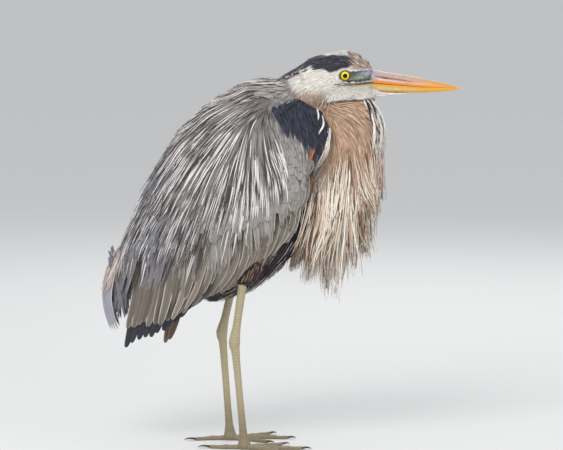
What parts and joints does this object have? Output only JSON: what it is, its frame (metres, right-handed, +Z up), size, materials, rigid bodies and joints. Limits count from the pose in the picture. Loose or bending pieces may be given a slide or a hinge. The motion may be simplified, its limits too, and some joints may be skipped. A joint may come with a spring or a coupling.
{
  "type": "great blue heron model",
  "caption": "Life-size still model of a standing great blue heron, hunched with its neck drawn in, long dagger bill and long bare legs.",
  "frame": {"origin": "on the floor, under the middle of the bounding box", "axes": "+Z up, +X the way the bird faces, so its right side is -Y"},
  "size_m": [0.5754, 0.2108, 0.6318],
  "materials": {
    "white_feather": "soft matte white to buff feathering",
    "slate_feather": "matte slate-grey feathering with paler edges",
    "quill_feather": "dark slate quills with a slight sheen",
    "buff_feather": "soft pinkish-buff plumes streaked with white",
    "upper_horn": "satin reddish-brown bill horn",
    "lower_horn": "satin yellow-orange bill horn",
    "eye": "wet gloss, yellow iris and black pupil",
    "leg_skin": "scaly olive-tan skin",
    "claw_horn": "dark horn"
  },
  "bodies": {
    "root": {"breast_plumes": "buff_feather", "claw_left_hind": "claw_horn", "claw_left_inner": "claw_horn", "claw_left_middle": "claw_horn", "claw_left_outer": "claw_horn", "claw_right_hind": "claw_horn", "claw_right_inner": "claw_horn", "claw_right_middle": "claw_horn", "claw_right_outer": "claw_horn", "eye_left": "eye", "eye_right": "eye", "flight_left": "quill_feather", "flight_right": "quill_feather", "head": "white_feather", "lower_bill": "lower_horn", "lower_neck": "buff_feather", "shank_left": "leg_skin", "shank_right": "leg_skin", "tail": "slate_feather", "tarsus_left": "leg_skin", "tarsus_right": "leg_skin", "thigh_left": "buff_feather", "thigh_right": "buff_feather", "toe_left_hind": "leg_skin", "toe_left_inner": "leg_skin", "toe_left_middle": "leg_skin", "toe_left_outer": "leg_skin", "toe_right_hind": "leg_skin", "toe_right_inner": "leg_skin", "toe_right_middle": "leg_skin", "toe_right_outer": "leg_skin", "trunk": "slate_feather", "upper_bill": "upper_horn", "upper_neck": "white_feather", "wing_left": "slate_feather", "wing_right": "slate_feather"}
  },
  "joints": []
}
